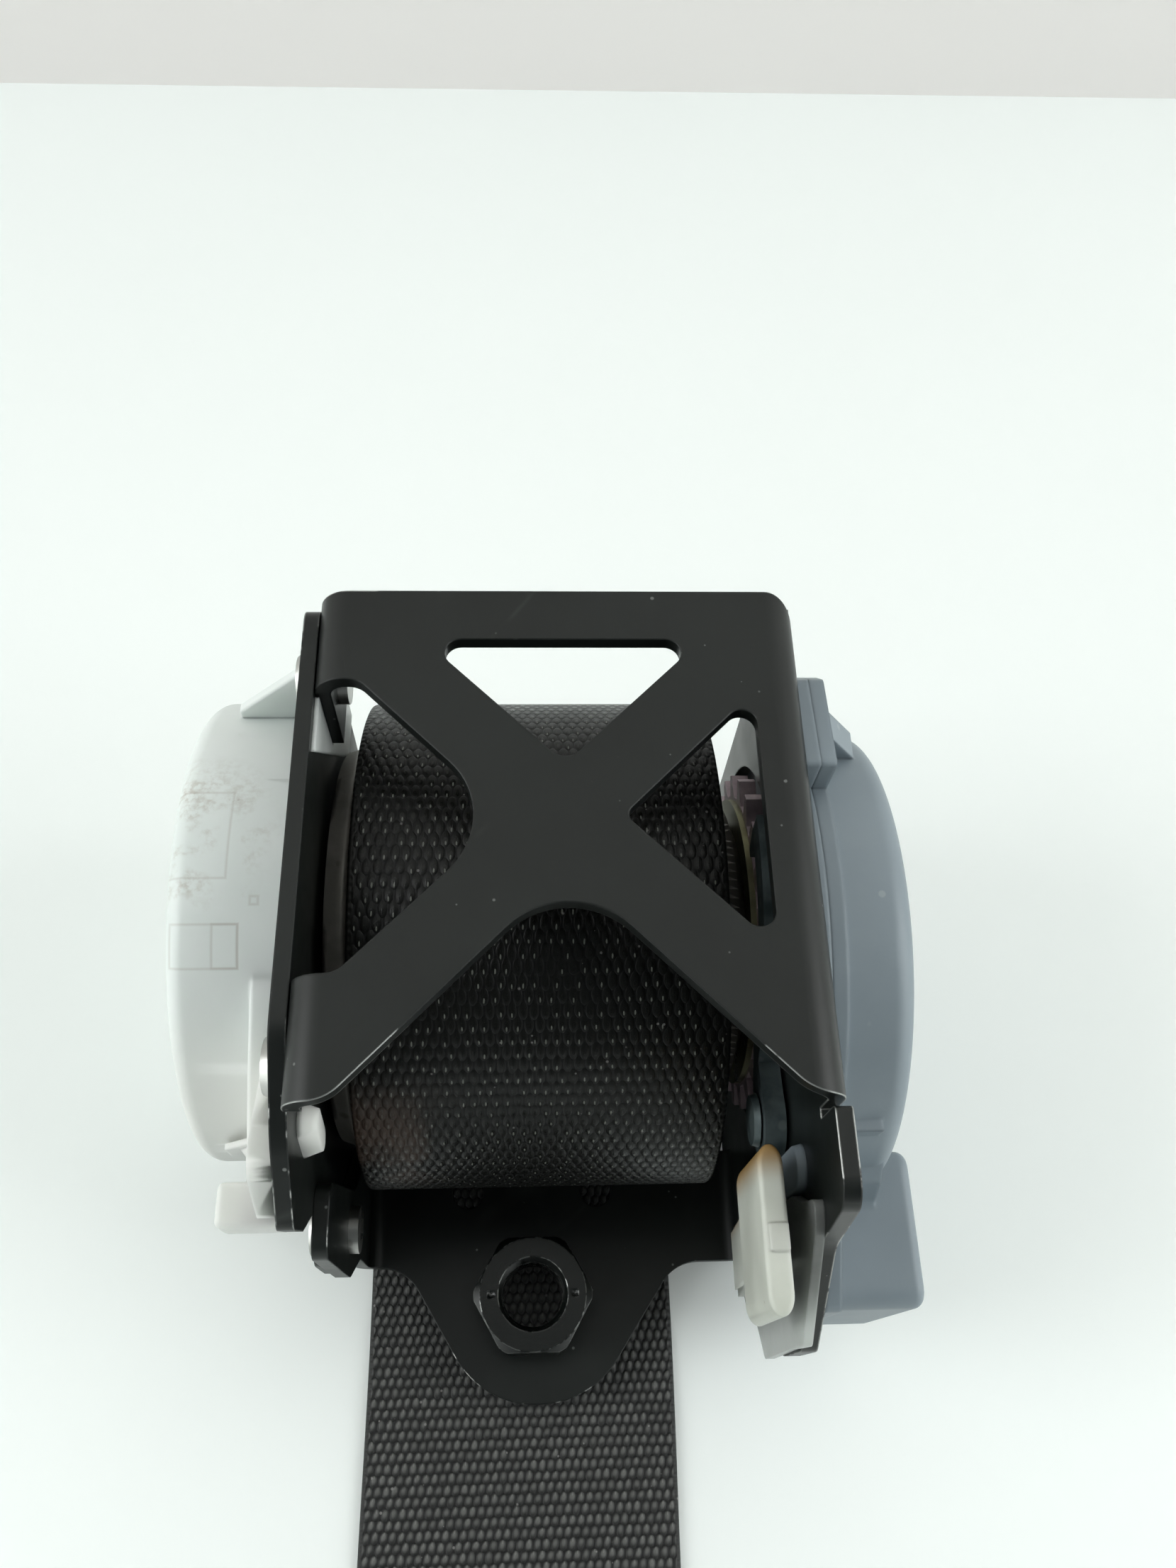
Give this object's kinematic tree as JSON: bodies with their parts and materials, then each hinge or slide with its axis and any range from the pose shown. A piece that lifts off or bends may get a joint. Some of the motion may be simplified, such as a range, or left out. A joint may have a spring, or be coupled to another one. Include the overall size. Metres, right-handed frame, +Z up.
{
  "type": "seat belt retractor",
  "caption": "Emergency-locking seat belt retractor: bent steel frame, spring case, locking mechanism, webbing on a spool, latch tongue and end anchor plate.",
  "frame": {"origin": "under the middle of the retractor, on the surface that its two side walls stand on", "axes": "+X along the spool towards the locking mechanism, -Y the way the webbing leaves, +Z up"},
  "size_m": [0.096, 0.3178, 0.0823],
  "materials": {
    "frame_steel": "black electrophoretic coat, semi-gloss",
    "rivet_steel": "bright zinc",
    "white_moulding": "natural milky plastic",
    "grey_moulding": "mid grey plastic",
    "ivory_moulding": "ivory plastic",
    "clear_grey_moulding": "translucent grey plastic",
    "bearing_plastic": "low-friction plastic",
    "spool_casting": "as cast",
    "webbing": "woven polyester, near black",
    "ratchet_zinc": "zinc casting with a pinkish passivation",
    "yellow_zinc": "yellow zinc plate",
    "bar_steel": "ground steel",
    "spring_steel": "blued strip",
    "pawl_steel": "dark greenish phosphate",
    "black_plastic": "black plastic",
    "band_rubber": "black elastic",
    "plated_steel": "polished plate"
  },
  "bodies": {
    "base": {"frame": "frame_steel", "left_side_plate": "frame_steel", "side_plate_rivets": "rivet_steel", "anchor_nut": "frame_steel", "spring_plate": "white_moulding", "spring_cover": "white_moulding", "left_bush": "bearing_plastic", "right_bush": "bearing_plastic", "mechanism_base": "grey_moulding", "mechanism_cover": "grey_moulding", "base_peg": "grey_moulding", "pawl_pin": "rivet_steel", "sensor_cartridge": "ivory_moulding", "lever_pin": "rivet_steel", "sensor_bracket": "clear_grey_moulding", "webbing_tail": "webbing", "webbing_hank": "webbing", "webbing_end": "webbing", "hank_band": "band_rubber", "latch_tongue": "plated_steel", "tongue_grip": "black_plastic", "stop_button": "black_plastic", "end_anchor_plate": "plated_steel"},
    "spool": {"spool": "spool_casting", "webbing_roll": "webbing", "ratchet_wheel": "ratchet_zinc", "guide_disc": "yellow_zinc", "torsion_bar": "bar_steel", "spring_arbor": "white_moulding", "mainspring": "spring_steel"},
    "pawl": {"locking_pawl": "pawl_steel"},
    "steering": {"steering_disc": "ivory_moulding"},
    "inertia": {"inertia_mass": "spool_casting"},
    "lever": {"sensor_lever": "black_plastic"},
    "ball": {"sensor_ball": "bar_steel"}
  },
  "joints": [
    {"name": "spool_spin", "type": "hinge", "parent": "base", "child": "spool", "pos_m": [-0.002, 0.0129, 0.0373], "axis": [1, 0, 0], "continuous": true},
    {"name": "pawl_swing", "type": "hinge", "parent": "base", "child": "pawl", "pos_m": [0.02735, -0.0171, 0.0528], "axis": [1, 0, 0], "range_deg": [-7, 0]},
    {"name": "steering_turn", "type": "hinge", "parent": "spool", "child": "steering", "pos_m": [0.035, 0.0129, 0.0373], "axis": [1, 0, 0], "range_deg": [-20, 0], "stiffness_Nm_per_rad": 0.005},
    {"name": "inertia_turn", "type": "hinge", "parent": "spool", "child": "inertia", "pos_m": [0.0377, 0.0129, 0.0373], "axis": [1, 0, 0], "range_deg": [-12, 12], "stiffness_Nm_per_rad": 0.005},
    {"name": "sensor_lever_tilt", "type": "hinge", "parent": "base", "child": "lever", "pos_m": [0.0385, -0.0241, 0.0263], "axis": [1, 0, 0], "range_deg": [-12, 0]},
    {"name": "sensor_ball_roll", "type": "hinge", "parent": "base", "child": "ball", "pos_m": [0.04, -0.0301, 0.026], "axis": [1, 0, 0], "range_deg": [-10, 10], "stiffness_Nm_per_rad": 0.001}
  ],
  "couplings": [
    {"joint": "pawl_swing", "follows": "steering_turn", "ratio": 0.35}
  ]
}
